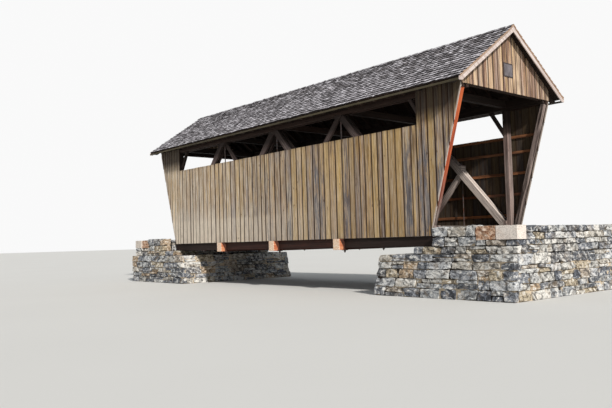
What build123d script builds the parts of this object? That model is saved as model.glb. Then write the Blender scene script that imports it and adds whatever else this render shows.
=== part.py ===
"""Timber covered bridge on rubble stone abutments.

Millimetres. X runs along the roadway, Y across it and Z up. The origin is at
the ground, under the middle of the span. "Near" is the -Y side and "far" the
+Y side, "right" is the +X end and "left" the -X end.

The helper functions take heights from the underside of the wall boarding,
which is also where the trusses' bottom chords start.
"""
from build123d import *
from math import atan2, cos, radians, sin, sqrt
import os

# Levels
siding_bottom = 1700
seat_drop = 300
seat_height = 210
chord_depth = 300
floor_beam_depth = 360

# Trusses: four panels between the bearings, built of timbers and iron rods
panel = 3480
panels_each_way = 2
truss_line = 2070
chord_width = 300
leaf_gap = 90
top_chord_underside = 4090
top_chord_depth = 300
brace_depth = 230
counter_clearance = 10
counter_depth = 180
strut_width = 150
strut_depth = 180
block_crest_width = 90
rod_radius = 20
hanger_radius = 14
rod_clearance = 4
washer_size = 150
washer_thickness = 20
nut_size = 70
nut_height = 45
rod_stub = 30
end_post_depth = 160
end_post_width = 220
end_brace_width = 250
end_brace_gap = 40
knee_depth = 110
knee_width = 110
knee_rise = 900
knee_run = 560

# Portals: the end walls lean outwards to the overhanging gables
portal_lean = 0.30
raker_depth = 120
raker_width = 160
raker_gap = 42
raker_setback = 40
chord_toe = 25

# Walls
girt_thickness = 40
girt_depth = 90
girt_rows = 4
first_girt = 620
girt_spacing = 690
top_rail_drop = 60
eave_nailer_rise = 60
girt_end_inset = 60
siding_thickness = 28
low_wall_height = 3260
wing_lap = 145
wing_clearance = 10

# Floor
floor_beam_width = 300
floor_beam_nose = 172
stringer_count = 5
stringer_edge = 320
stringer_width = 150
stringer_depth = 220
deck_thickness = 75
deck_gap = 20
deck_overhang = 30
sill_width = 250

# Roof
roof_slope = 0.69
eave_overhang = 450
eave_drip = 15
rafter_notch = 30
rafter_depth = 165
rafter_width = 90
rafters_per_panel = 6
sheathing_thickness = 25
shake_thickness = 50
shake_overhang = 20
ridge_board_thickness = 40
ridge_board_depth = 200
fascia_thickness = 25
fascia_depth = 60
rake_overhang = 280
rake_board_thickness = 30
rake_board_depth = 145
tie_width = 180
tie_depth = 220
portal_tie_depth = 200
gable_lift = 100

# Abutments
base_step = 1180
base_batter = 290
base_ledge = 200
end_gap = 80
road_drop = 95
parapet_clearance = 42
parapet_thickness = 420
parapet_rise = 10
parapet_gap = 310
parapet_length = 1450
rough_block_length = 620
dressed_block_length = 615
block_bed_rise = 150
block_joint = 6

# Across the bridge
chord_inner = truss_line - chord_width / 2
chord_outer = truss_line + chord_width / 2
counter_width = leaf_gap - counter_clearance
girt_outer = chord_outer + girt_thickness
siding_outer = girt_outer + siding_thickness
floor_beam_reach = siding_outer + floor_beam_nose
deck_half_width = chord_inner - deck_gap

# Along the trusses
truss_height = top_chord_underside - chord_depth
top_chord_top = top_chord_underside + top_chord_depth
post_inner = panels_each_way * panel + block_crest_width / 2
post_outer = post_inner + end_post_depth
wing_start = post_inner - wing_lap

# Portals and gables
portal_foot = post_outer + raker_gap + raker_depth + raker_setback - portal_lean * chord_depth
chord_end = portal_foot + portal_lean * chord_depth - raker_setback + chord_toe
gable_bottom = top_chord_underside + gable_lift
gable_plane = portal_foot + portal_lean * gable_bottom
gable_back = gable_plane - siding_thickness

# Roof
roof_cos = 1 / sqrt(1 + roof_slope**2)
shake_drop = shake_thickness / roof_cos
sheathing_drop = sheathing_thickness / roof_cos
rafter_drop = rafter_depth / roof_cos
eave_reach = siding_outer + eave_overhang
fascia_outer = eave_reach - eave_drip
rafter_tail = fascia_outer - fascia_thickness
roof_end = gable_plane + rake_overhang
rake_outer = roof_end - shake_overhang
sheathing_end = rake_outer - rake_board_thickness

# Abutments
base_drop = seat_drop + seat_height
core_start = chord_end + end_gap
core_top = stringer_depth + deck_thickness - road_drop
parapet_top = core_top + parapet_rise
parapet_inner = siding_outer + parapet_clearance
parapet_outer = parapet_inner + parapet_thickness
parapet_start = portal_foot + portal_lean * parapet_top + parapet_gap
parapet_stop = parapet_start + parapet_length
dressed_block_start = parapet_stop + rough_block_length
abutment_end = dressed_block_start + dressed_block_length
block_bed = block_bed_rise - seat_drop
base_half_width = parapet_outer + base_ledge
seat_start = post_inner
base_start = seat_start - base_step
base_toe = base_start - base_batter

SIDES = {"near": -1, "far": 1}
ENDS = {"right": 1, "left": -1}
PANEL_POINTS = [i * panel for i in range(1 - panels_each_way, panels_each_way)]


def brace_angle(depth):
    """Slope of a brace whose square ends bear on the blocks of one panel."""
    angle = radians(45)
    for _ in range(20):
        run = panel - block_crest_width - depth * sin(angle)
        rise = truss_height - depth * cos(angle)
        angle = atan2(rise, run)
    return angle


BRACE_SIN = sin(brace_angle(brace_depth))
BRACE_COS = cos(brace_angle(brace_depth))


def box(x0, x1, y0, y1, z0, z1):
    """A solid between two corners."""
    low = [min(a, b) for a, b in ((x0, x1), (y0, y1), (z0, z1))]
    size = [abs(b - a) for a, b in ((x0, x1), (y0, y1), (z0, z1))]
    place = Pos(low[0], low[1], low[2] + siding_bottom)
    return place * Box(*size, align=(Align.MIN, Align.MIN, Align.MIN))


def along_y(points, y0, y1):
    """A solid with an X-Z outline, from one Y to another."""
    low, high = min(y0, y1), max(y0, y1)
    wires = Polyline(*[(x, low, z + siding_bottom) for x, z in points], close=True)
    return extrude(make_face(wires), amount=high - low, dir=(0, 1, 0))


def along_x(points, x0, x1):
    """A solid with a Y-Z outline, from one X to another."""
    low, high = min(x0, x1), max(x0, x1)
    wires = Polyline(*[(low, y, z + siding_bottom) for y, z in points], close=True)
    return extrude(make_face(wires), amount=high - low, dir=(1, 0, 0))


def upright(x, y, z0, z1, radius):
    """A round bar standing on z0."""
    place = Pos(x, y, z0 + siding_bottom)
    return place * Cylinder(radius, z1 - z0, align=(Align.CENTER, Align.CENTER, Align.MIN))


def mirrored(points, end):
    """An outline drawn for the right end, turned to the given end."""
    return [(end * x, z) for x, z in points]


def leaves(side, width=chord_width, gap=leaf_gap):
    """The Y ranges of two timbers that lie side by side in a truss."""
    return [
        (side * (truss_line - width / 2), side * (truss_line - gap / 2)),
        (side * (truss_line + gap / 2), side * (truss_line + width / 2)),
    ]


def save(name, solids):
    """Write one node, as a single solid or as a group of solids."""
    shape = solids[0] if len(solids) == 1 else Compound(children=list(solids))
    shape.label = name
    export_step(shape, f"parts/{name}.step")


# Roof lines: heights of the roof's layers at a distance from the ridge line

def rafter_bottom(y):
    return top_chord_top - rafter_notch + (chord_outer - abs(y)) * roof_slope


def rafter_top(y):
    return rafter_bottom(y) + rafter_drop


def sheathing_top(y):
    return rafter_top(y) + sheathing_drop


def shake_top(y):
    return sheathing_top(y) + shake_drop


def eave_bottom():
    """Level of the eave's underside: rafter tails and rake boards are cut level there."""
    return rafter_top(fascia_outer) - fascia_depth


def portal_edge(z):
    """Distance of the leaning end wall from mid-span at a height."""
    return portal_foot + portal_lean * z


# Masonry

def abutment_base(end):
    """The lower stage, with a battered face towards the stream."""
    outline = [
        (base_toe, -siding_bottom),
        (abutment_end, -siding_bottom),
        (abutment_end, -base_drop),
        (base_start, -base_drop),
    ]
    return along_y(mirrored(outline, end), -base_half_width, base_half_width)


def abutment_seat(end):
    """The ledge on which the chords and the end sills bear."""
    return box(
        end * seat_start, end * abutment_end,
        -parapet_outer, parapet_outer, -base_drop, -seat_drop,
    )


def abutment_core(end):
    """The mass between the parapets, up to the level of the roadway."""
    return box(
        end * core_start, end * abutment_end,
        -parapet_inner, parapet_inner, -seat_drop, core_top,
    )


def parapet(end, side):
    """A low wall whose bottom course runs on under the end blocks."""
    outline = [
        (parapet_start, -seat_drop),
        (abutment_end, -seat_drop),
        (abutment_end, block_bed),
        (parapet_stop, block_bed),
        (parapet_stop, parapet_top),
        (parapet_start, parapet_top),
    ]
    return along_y(mirrored(outline, end), side * parapet_inner, side * parapet_outer)


def end_blocks():
    """A rough block and a dressed block that close each parapet."""
    return [
        box(
            end * x0, end * x1,
            side * parapet_inner, side * parapet_outer, block_bed, parapet_top,
        )
        for end in ENDS.values()
        for side in SIDES.values()
        for x0, x1 in (
            (parapet_stop, dressed_block_start - block_joint),
            (dressed_block_start, abutment_end),
        )
    ]


# Trusses

def bottom_chord(side):
    return [box(-chord_end, chord_end, y0, y1, 0, chord_depth) for y0, y1 in leaves(side)]


def top_chord(side):
    """Two timbers that run out past the posts to carry the gables."""
    return [
        box(-gable_back, gable_back, y0, y1, top_chord_underside, top_chord_top)
        for y0, y1 in leaves(side)
    ]


def lower_timbers():
    """Timbers under the chords, butted between the floor beams."""
    half = floor_beam_width / 2
    stops = [-chord_end]
    for x in PANEL_POINTS:
        stops += [x - half, x + half]
    stops.append(chord_end)
    return [
        box(x0, x1, y0, y1, -seat_drop, 0)
        for side in SIDES.values()
        for y0, y1 in leaves(side)
        for x0, x1 in zip(stops[::2], stops[1::2])
    ]


def block_outline(x, at_top):
    """An angle block: its two slopes are square to the braces."""
    crest = block_crest_width / 2
    spread = crest + brace_depth * BRACE_SIN
    height = brace_depth * BRACE_COS
    base, tip = chord_depth, chord_depth + height
    if at_top:
        base, tip = top_chord_underside, top_chord_underside - height
    return [(x - spread, base), (x + spread, base), (x + crest, tip), (x - crest, tip)]


def angle_blocks():
    """Bearing blocks on both chords, bored for the rods, and the feet at the posts."""
    blocks = []
    foot = panels_each_way * panel
    for side in SIDES.values():
        y0, y1 = side * chord_inner, side * chord_outer
        for x in PANEL_POINTS:
            bore = upright(x, side * truss_line, 0, top_chord_top, rod_radius + rod_clearance)
            for at_top in (False, True):
                blocks.append(along_y(block_outline(x, at_top), y0, y1) - bore)
        for end in ENDS.values():
            whole = along_y(block_outline(end * foot, False), y0, y1)
            beyond = box(end * post_inner, end * chord_end, y0, y1, chord_depth, truss_height)
            blocks.append(whole - beyond)
    return blocks


def brace_outline(x_foot, x_head, depth):
    """A brace between the faces of two blocks, square cut at both ends."""
    toward = 1 if x_head > x_foot else -1
    centre = block_crest_width / 2 + brace_depth / 2 * BRACE_SIN
    lift = brace_depth / 2 * BRACE_COS
    foot = (x_foot + toward * centre, chord_depth + lift)
    head = (x_head - toward * centre, top_chord_underside - lift)
    across = (-depth / 2 * BRACE_SIN * toward, depth / 2 * BRACE_COS)
    return [
        (foot[0] - across[0], foot[1] - across[1]),
        (head[0] - across[0], head[1] - across[1]),
        (head[0] + across[0], head[1] + across[1]),
        (foot[0] + across[0], foot[1] + across[1]),
    ]


def main_braces(side):
    """Pairs of timbers that lean towards the middle of the span."""
    braces = []
    for end in ENDS.values():
        for i in range(panels_each_way):
            outline = brace_outline(end * (i + 1) * panel, end * i * panel, brace_depth)
            at_portal = i == panels_each_way - 1
            pair = leaves(side, end_brace_width, end_brace_gap) if at_portal else leaves(side)
            braces += [along_y(outline, y0, y1) for y0, y1 in pair]
    return braces


def counter_braces():
    """Single timbers that pass between the pairs in the inner panels."""
    return [
        along_y(
            brace_outline(0, end * panel, counter_depth),
            side * truss_line - counter_width / 2,
            side * truss_line + counter_width / 2,
        )
        for side in SIDES.values()
        for end in ENDS.values()
    ]


def strut_outline():
    """A strut from the last inner block up to the end brace's underside."""
    s, c = BRACE_SIN, BRACE_COS
    centre = block_crest_width / 2 + brace_depth / 2 * s
    z0 = chord_depth + brace_depth / 2 * c
    x0 = (panels_each_way - 1) * panel + centre
    apart = panel - 2 * centre
    lower, upper = [
        (apart * s - brace_depth / 2 - edge * (c * c - s * s)) / (2 * s * c)
        for edge in (-strut_depth / 2, strut_depth / 2)
    ]
    across = (-strut_depth / 2 * s, strut_depth / 2 * c)
    return [
        (x0 - across[0], z0 - across[1]),
        (x0 - across[0] + lower * c, z0 - across[1] + lower * s),
        (x0 + across[0] + upper * c, z0 + across[1] + upper * s),
        (x0 + across[0], z0 + across[1]),
    ]


def end_struts():
    return [
        along_y(
            mirrored(strut_outline(), end),
            side * truss_line - strut_width / 2,
            side * truss_line + strut_width / 2,
        )
        for side in SIDES.values()
        for end in ENDS.values()
    ]


def hanger_place():
    """Distance of the hanger rod from mid-span, just past the strut's head."""
    return max(x for x, _ in strut_outline()) + hanger_radius + rod_clearance


def end_brace_top(x):
    """Height of the end brace's upper edge at a distance from mid-span."""
    outline = brace_outline(panels_each_way * panel, panel * (panels_each_way - 1), brace_depth)
    head, foot = outline[2:]
    return foot[1] + (x - foot[0]) * (head[1] - foot[1]) / (head[0] - foot[0])


def hanger_seats():
    """Wedges that give each hanger rod a level seat on the end braces."""
    x0, x1 = [hanger_place() + step * washer_size / 2 for step in (-1, 1)]
    outline = [(x0, end_brace_top(x0)), (x1, end_brace_top(x1)), (x1, end_brace_top(x0))]
    radius = hanger_radius + rod_clearance
    seats = []
    for side in SIDES.values():
        for end in ENDS.values():
            reach = end_brace_width / 2
            y0, y1 = side * (truss_line - reach), side * (truss_line + reach)
            wedge = along_y(mirrored(outline, end), y0, y1)
            bore = upright(end * hanger_place(), side * truss_line, 0, truss_height, radius)
            seats.append(wedge - bore)
    return seats


def tie_rod(x, side, z0, z1, radius):
    """A rod with a plate washer and a nut beyond the timber at both ends."""
    y = side * truss_line
    reach = washer_thickness + nut_height + rod_stub
    rod = upright(x, y, z0 - reach, z1 + reach, radius)
    half = washer_size / 2
    for face, away in ((z0, -1), (z1, 1)):
        plate = box(x - half, x + half, y - half, y + half, face, face + away * washer_thickness)
        start = min(away * washer_thickness, away * (washer_thickness + nut_height))
        nut = extrude(RegularPolygon(nut_size / 2, 6), amount=nut_height)
        rod = rod + plate + Pos(x, y, face + start + siding_bottom) * nut
    return rod


def rods(side):
    """A rod at each inner panel point, and a thin hanger in each end panel."""
    main = [tie_rod(x, side, -floor_beam_depth, top_chord_top, rod_radius) for x in PANEL_POINTS]
    top = end_brace_top(hanger_place() - washer_size / 2)
    hangers = [
        tie_rod(end * hanger_place(), side, -seat_drop, top, hanger_radius)
        for end in ENDS.values()
    ]
    return main + hangers


def end_posts():
    half = end_post_width / 2
    return [
        box(
            end * post_inner, end * post_outer,
            side * truss_line - half, side * truss_line + half, chord_depth, top_chord_underside,
        )
        for side in SIDES.values()
        for end in ENDS.values()
    ]


def knee_braces():
    """Braces from the end posts up to the underside of the top chords."""
    slope = atan2(knee_rise, knee_run)
    foot = top_chord_underside - knee_rise
    head = post_inner - knee_run
    outline = [
        (post_inner, foot),
        (post_inner, foot + knee_depth / cos(slope)),
        (head + knee_depth / sin(slope), top_chord_underside),
        (head, top_chord_underside),
    ]
    return [
        along_y(
            mirrored(outline, end),
            side * truss_line - knee_width / 2,
            side * truss_line + knee_width / 2,
        )
        for side in SIDES.values()
        for end in ENDS.values()
    ]


def portal_rakers():
    """Leaning timbers that carry the overhanging gables."""
    outer, inner = raker_setback, raker_setback + raker_depth
    corners = (
        (chord_depth, inner),
        (chord_depth, outer),
        (top_chord_underside, outer),
        (top_chord_underside, inner),
    )
    outline = [(portal_edge(z) - inset, z) for z, inset in corners]
    return [
        along_y(mirrored(outline, end), side * (chord_outer - raker_width), side * chord_outer)
        for side in SIDES.values()
        for end in ENDS.values()
    ]


# Walls

def girt_reach(level):
    """Distance from mid-span at which the nailers stop behind the leaning edge."""
    return portal_edge(level) - raker_setback - girt_end_inset


def girt(side, level):
    reach = girt_reach(level)
    z0, z1 = level - girt_depth / 2, level + girt_depth / 2
    return box(-reach, reach, side * chord_outer, side * girt_outer, z0, z1)


def girts(side):
    """Level nailers on the outer faces of the truss."""
    rows = [first_girt + i * girt_spacing for i in range(girt_rows)]
    levels = [
        chord_depth / 2,
        *rows,
        low_wall_height - top_rail_drop,
        top_chord_underside + eave_nailer_rise,
    ]
    return [girt(side, level) for level in levels]


def low_siding(side):
    return box(
        -wing_start, wing_start, side * girt_outer, side * siding_outer, 0, low_wall_height
    )


def wing_siding(end, side):
    """Full-height boarding beside a portal, cut along the lean, behind the gable."""
    top = rafter_bottom(siding_outer) - wing_clearance
    outline = [
        (wing_start, 0),
        (portal_foot, 0),
        (gable_plane, gable_bottom),
        (gable_back, gable_bottom),
        (gable_back, top),
        (wing_start, top),
    ]
    return along_y(mirrored(outline, end), side * girt_outer, side * siding_outer)


# Floor

def floor_beams():
    """Beams across the bridge, bored for the rods that hang them."""
    half = floor_beam_width / 2
    radius = rod_radius + rod_clearance
    beams = []
    for x in PANEL_POINTS:
        beam = box(
            x - half, x + half, -floor_beam_reach, floor_beam_reach, -floor_beam_depth, 0
        )
        for side in SIDES.values():
            beam = beam - upright(x, side * truss_line, -floor_beam_depth, 0, radius)
        beams.append(beam)
    return beams


def end_sills():
    stop = seat_start + sill_width
    return [
        box(end * seat_start, end * stop, -chord_inner, chord_inner, -seat_drop, 0)
        for end in ENDS.values()
    ]


def stringers():
    edge = chord_inner - stringer_edge
    spacing = 2 * edge / (stringer_count - 1)
    half = stringer_width / 2
    lines = [-edge + i * spacing for i in range(stringer_count)]
    return [box(-chord_end, chord_end, y - half, y + half, 0, stringer_depth) for y in lines]


def deck():
    reach = chord_end + deck_overhang
    top = stringer_depth + deck_thickness
    return box(-reach, reach, -deck_half_width, deck_half_width, stringer_depth, top)


# Roof

def tie_beams():
    """Beams between the top chords, and one across each gable's foot."""
    post_centre = (post_inner + post_outer) / 2
    ties = [
        box(
            x - tie_width / 2, x + tie_width / 2,
            -chord_inner, chord_inner, top_chord_top - tie_depth, top_chord_top,
        )
        for x in [-post_centre, *PANEL_POINTS, post_centre]
    ]
    for end in ENDS.values():
        ties.append(
            box(
                end * (gable_back - tie_width), end * gable_back,
                -chord_inner, chord_inner, gable_bottom, gable_bottom + portal_tie_depth,
            )
        )
    return ties


def rafter_places():
    """Evenly spaced rafters, with one more against the back of each gable."""
    spacing = panel / rafters_per_panel
    last = gable_back - rafter_width / 2
    places = [(i + 1 / 2) * spacing for i in range(int(last // spacing))]
    places.append(last)
    return [end * x for end in ENDS.values() for x in places]


def rafters(side):
    """Rafters notched over the top chord, from the ridge board to a level-cut tail."""
    ridge = ridge_board_thickness / 2
    seat = chord_outer - rafter_notch / roof_slope
    tail_cut = chord_outer + (rafter_bottom(chord_outer) - eave_bottom()) / roof_slope
    outline = [
        (ridge, rafter_bottom(ridge)),
        (ridge, rafter_top(ridge)),
        (rafter_tail, rafter_top(rafter_tail)),
        (rafter_tail, eave_bottom()),
        (tail_cut, eave_bottom()),
        (chord_outer, rafter_bottom(chord_outer)),
        (chord_outer, top_chord_top),
        (seat, top_chord_top),
    ]
    outline = [(side * y, z) for y, z in outline]
    half = rafter_width / 2
    return [along_x(outline, x - half, x + half) for x in rafter_places()]


def ridge_board():
    half = ridge_board_thickness / 2
    top = rafter_top(half)
    return box(-gable_back, gable_back, -half, half, top - ridge_board_depth, top)


def roof_layer(side, reach, top, bottom, x0, x1):
    """A sloping layer between two roof lines, from the ridge out to a reach."""
    outline = [(0, bottom(0)), (0, top(0)), (side * reach, top(reach)), (side * reach, bottom(reach))]
    return along_x(outline, x0, x1)


def sheathing(side):
    return roof_layer(
        side, fascia_outer, sheathing_top, rafter_top, -sheathing_end, sheathing_end
    )


def shakes(side):
    return roof_layer(side, eave_reach, shake_top, sheathing_top, -roof_end, roof_end)


def eave_fascias():
    """Boards that close the rafters' tails."""
    return [
        box(
            -sheathing_end, sheathing_end,
            side * rafter_tail, side * fascia_outer, eave_bottom(), rafter_top(fascia_outer),
        )
        for side in SIDES.values()
    ]


def rake_board_bottom(y):
    return sheathing_top(y) - rake_board_depth / roof_cos


def rake_boards():
    """Boards under the shakes along the four sloping roof edges, cut level at the eaves."""
    cut = fascia_outer + (rake_board_bottom(fascia_outer) - eave_bottom()) / roof_slope
    outline = [
        (0, rake_board_bottom(0)),
        (0, sheathing_top(0)),
        (fascia_outer, sheathing_top(fascia_outer)),
        (fascia_outer, eave_bottom()),
        (cut, eave_bottom()),
    ]
    return [
        along_x([(side * y, z) for y, z in outline], end * sheathing_end, end * rake_outer)
        for side in SIDES.values()
        for end in ENDS.values()
    ]


def gable(end):
    """Boarding of one gable, from its level foot up to the sheathing."""
    outline = [
        (-siding_outer, gable_bottom),
        (siding_outer, gable_bottom),
        (siding_outer, rafter_top(siding_outer)),
        (0, rafter_top(0)),
        (-siding_outer, rafter_top(siding_outer)),
    ]
    return along_x(outline, end * gable_back, end * gable_plane)


os.makedirs("parts", exist_ok=True)

for end_name, end in ENDS.items():
    save(f"{end_name}_abutment_base", [abutment_base(end)])
    save(f"{end_name}_abutment_seat", [abutment_seat(end)])
    save(f"{end_name}_abutment_core", [abutment_core(end)])
    save(f"{end_name}_gable", [gable(end)])
    for side_name, side in SIDES.items():
        save(f"{end_name}_{side_name}_parapet", [parapet(end, side)])
        save(f"{side_name}_{end_name}_wing_siding", [wing_siding(end, side)])

for side_name, side in SIDES.items():
    save(f"{side_name}_bottom_chord", bottom_chord(side))
    save(f"{side_name}_top_chord", top_chord(side))
    save(f"{side_name}_main_braces", main_braces(side))
    save(f"{side_name}_rods", rods(side))
    save(f"{side_name}_girts", girts(side))
    save(f"{side_name}_low_siding", [low_siding(side)])
    save(f"{side_name}_rafters", rafters(side))
    save(f"{side_name}_sheathing", [sheathing(side)])
    save(f"{side_name}_shakes", [shakes(side)])

save("parapet_end_blocks", end_blocks())
save("lower_timbers", lower_timbers())
save("angle_blocks", angle_blocks() + hanger_seats())
save("counter_braces", counter_braces() + end_struts())
save("end_posts", end_posts())
save("knee_braces", knee_braces())
save("portal_rakers", portal_rakers())
save("floor_beams", floor_beams())
save("end_sills", end_sills())
save("stringers", stringers())
save("deck", [deck()])
save("tie_beams", tie_beams())
save("ridge_board", [ridge_board()])
save("eave_fascias", eave_fascias())
save("rake_boards", rake_boards())
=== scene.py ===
"""Looks of a timber covered bridge on rubble stone abutments.

Metres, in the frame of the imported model: X along the roadway, Y across it and
Z up. "Near" is the -Y side, "far" the +Y side, "right" is the +X end. Colours
of materials are written in the usual 0 to 255 steps.
"""

from functools import cached_property
from math import ceil, cos, pi, radians, sin
from random import Random

import bmesh
import bpy
from mathutils import Matrix, Vector, noise


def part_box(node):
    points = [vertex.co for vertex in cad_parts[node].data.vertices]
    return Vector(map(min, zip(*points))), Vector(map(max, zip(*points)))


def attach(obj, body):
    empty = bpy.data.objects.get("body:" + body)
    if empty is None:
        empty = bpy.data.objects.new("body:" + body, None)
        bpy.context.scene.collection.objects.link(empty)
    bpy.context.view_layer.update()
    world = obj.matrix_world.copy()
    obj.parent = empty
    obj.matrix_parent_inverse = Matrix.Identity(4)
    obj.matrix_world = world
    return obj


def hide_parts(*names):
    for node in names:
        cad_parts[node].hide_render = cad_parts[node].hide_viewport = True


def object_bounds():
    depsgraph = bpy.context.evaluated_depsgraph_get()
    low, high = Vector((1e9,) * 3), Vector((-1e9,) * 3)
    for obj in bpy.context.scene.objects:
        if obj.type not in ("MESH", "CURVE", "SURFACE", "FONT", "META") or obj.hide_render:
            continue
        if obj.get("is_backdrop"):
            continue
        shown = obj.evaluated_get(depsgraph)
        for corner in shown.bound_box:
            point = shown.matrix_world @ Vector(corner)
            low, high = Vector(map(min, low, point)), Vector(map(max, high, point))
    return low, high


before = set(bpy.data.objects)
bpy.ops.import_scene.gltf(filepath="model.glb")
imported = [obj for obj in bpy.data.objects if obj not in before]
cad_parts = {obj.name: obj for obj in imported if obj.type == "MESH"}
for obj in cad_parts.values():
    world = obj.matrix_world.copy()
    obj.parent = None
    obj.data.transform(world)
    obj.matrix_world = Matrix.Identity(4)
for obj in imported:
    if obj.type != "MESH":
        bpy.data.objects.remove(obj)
cad_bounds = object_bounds()
noise.seed_set(1)  # or the clock would seed noise_vector

SIDES = {"near": -1, "far": 1}
ENDS = {"right": 1, "left": -1}
X, Y, Z = Vector((1, 0, 0)), Vector((0, 1, 0)), Vector((0, 0, 1))
TINY = 1e-4
NOISE_REACH = 40

# Camera, as worked out from the photograph's straight edges
IMAGE_WIDTH = 612
FOCAL_PIXELS = 671.2
EYE = Vector((19.563, -17.394, 1.619))
EYE_TURN = 0.86545
EYE_PITCH = 0.05689
EYE_ROLL = -0.02751
SENSOR_WIDTH = 36
CLIP_END = 1000

# Light and stage
SUN_STRENGTH = 3.6
SUN_SPREAD = radians(3)
SUN_COLOUR = (1, 0.96, 0.9)
TOWARDS_SUN = Vector((0.81, -0.27, 0.52))
SKY = {"Color": (0.86, 0.93, 1, 1), "Strength": 0.36}
BACKDROP = {"Color": (1, 1, 1, 1), "Strength": 0.95}
FLOOR_REACH = 400

# Boards of the walls, gables and deck
BOARD_WIDTH = (0.21, 0.35)
WING_BOARD_WIDTH = (0.17, 0.30)
GABLE_BOARD_WIDTH = (0.19, 0.31)
PLANK_WIDTH = (0.2, 0.27)
BOARD_GAP = 0.02
BOARD_STEP = 0.45
BOARD_COLUMNS = (0, 0.09, 0.5, 0.91, 1)
BOARD_SETBACK = 0.003
BOARD_TILT = 0.004
BOARD_BOW = 0.003
BOARD_WAVE = 0.003
DEEPEST_FACE = 0.012
BACK_GAP = 0.001
WORN_EDGE = 0.004
FOOT_WEAR = 0.007
HEAD_WEAR = 0.01
GABLE_NAIL_RISES = (0.1, 0.95)
NAIL_COLUMNS = (0.17, 0.83)
NAIL_RADIUS = 0.007
NAIL_RINGS = ((NAIL_RADIUS, -0.001), (NAIL_RADIUS * 0.85, 0.0012))
NAIL_TOP = 0.0018
NAIL_SIDES = 6
NAIL_STRAY = 0.02
NAIL_MARGIN = 0.01

# Roof
COURSE = 0.185
SHAKE_WIDTH = (0.09, 0.2)
SHAKE_LENGTH = 0.245
SHAKE_BUTT = 0.027
SHAKE_HEAD = 0.008
SHAKE_GAP = 0.009
SHAKE_DROP = 0.034
SHAKE_SINK = 0.014
SHAKE_SKEW = 0.018
SHAKE_ROCK = 0.006
SHAKE_FRAY = 0.006
SHAKE_RIDGES = 0.004
SHAKE_WORN_EDGE = 0.003
SHAKE_LOWEST = 0.004
SHAKE_COLUMNS = (0, 0.14, 0.5, 0.86, 1)
CAP_WIDTH = 0.15
CAP_LENGTH = (0.1, 0.22)
CAP_THICKNESS = 0.018
CAP_LAP = 0.008
CAP_SINK = 0.024
CAP_GAP = 0.004
SOFFIT_BOARD = 0.21
SOFFIT_LENGTH = (3.0, 4.6)
SOFFIT_END_GAP = 0.002
SOFFIT_SIDE_GAP = 0.003
SOFFIT_COLUMNS = ((0, 0.002), (0.06, 0), (0.94, 0), (1, 0.002))
MOULDING_DEPTH = 0.034
MOULDING_THICKNESS = 0.016
MOULDING_COLUMNS = ((0, 0.002), (0.3, 0), (0.7, 0), (1, 0.004))
MOULDING_ROWS = 8

# Worn edges of the timbers
LARGE_WEAR, MEDIUM_WEAR, WEAR, SMALL_WEAR = 0.01, 0.008, 0.006, 0.004

# Masonry. A stone's relief is a noise of a scale and a depth, at a bulge of 1.
STONE_DEPTH = 0.2
QUOIN_DEPTH = 0.36
JOINT = 0.032
BED_SHARE = 0.6
MORTAR_SETBACK = 0.06
STONE_CUTS = 5
CORE_CUTS = 6
BLOCK_CUTS = 9
TOP_STONE_RISE = 0.05
SPLIT_HEIGHT = 0.19
SPLIT_CHANCE = 0.35
JOINT_SKEW = 0.022
STONE_SETBACK = (0.008, 0.045)
STONE_SLANT = (-0.04, 0.2)
STONE_TURN = 0.06
CORNER_WEAR = 0.022
SWELL_SCALE, SWELL_SHARE = 5, 0.24
FACET_SCALE, FACET_DEPTH = 9, 0.016
LUMP_SCALE, LUMP_DEPTH = 10, 0.03
GRIT_SCALE, GRIT_DEPTH = 19, 0.012
COURSE_WAVE = 0.022
MORTAR_SCALE, MORTAR_DEPTH = 3, 0.012
PARAPET_STONES = (0.26, 0.6)
FLAG_SIZE = (0.34, 0.62)
FLAG_DEPTH = 0.09
FLAG_GAP = 0.006
FLAG_BULGE = 0.45
FLAG_LAP = 0.1
BLOCK_GAP = 0.003
ROUGH_BULGE = 0.6
SAWN_BULGE = 0.1

# Bare plate on the seen gable, with its raised rim as shares inwards and heights
PLATE_CENTRE = (0.02, 6.55)
PLATE_SIZE = (0.48, 0.42)
PLATE_RINGS = ((0, 0), (0, 0.012), (0.03, 0.02), (0.045, 0.012))
PLATE_MIDDLE = 0.013

# Where a look begins and is complete, as a distance from the middle or a height
# BOARD_BACKS, UNDER_EAVES and TIMBER_UNDER_EAVES bound painted shade; SUNLIT_ENDS and
# SUNLIT_BRACES bound painted sunlight.
BOARD_BACKS = (2.268, 2.262)
UNDER_EAVES = (4.85, 5.4)
TIMBER_UNDER_EAVES = (4.95, 5.4)
SUNLIT_ENDS = (4.3, 5.2)
SUNLIT_BRACES = (4.6, 4.1)
END_POSTS = (6.94, 6.8)
# Where the painted shadow of the siding ends on the floor beams' sides
BEAM_SIDE_SHADOW_EDGE = (2.425, 2.44)
BEAM_ENDS = (2.445, 2.455)
RAKE_SHAKES = (8.796, 8.806)
BEFORE_SAWN_EDGE = (0.05, 0.03)


def srgb(red, green, blue, shade=1):
    """A colour given in 0 to 255 steps, and a shade from 0 to 1, as Blender's linear values."""
    def linear(step):
        share = step / 255
        return share / 12.92 if share <= 0.04045 else ((share + 0.055) / 1.055) ** 2.4
    return (linear(red) * shade, linear(green) * shade, linear(blue) * shade, 1)


def node_points(node):
    """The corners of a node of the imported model."""
    return [vertex.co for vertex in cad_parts[node].data.vertices]


def distances(a, b):
    """Two coordinates as distances from the middle of the bridge, the nearer one first."""
    return sorted((abs(a), abs(b)))


def between(start, stop, share, gap=0.0):
    """The value at a share of the way from start to stop, with a gap left at both."""
    return start + gap + (stop - start - 2 * gap) * share


def anywhere(random, reach):
    """A random offset, so that no two pieces show the same part of a noise."""
    return Vector([random.uniform(-reach, reach) for _ in range(3)])


def link(name, data):
    """A new object in the scene."""
    made = bpy.data.objects.new(name, data)
    bpy.context.scene.collection.objects.link(made)
    return made


# Materials

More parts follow.
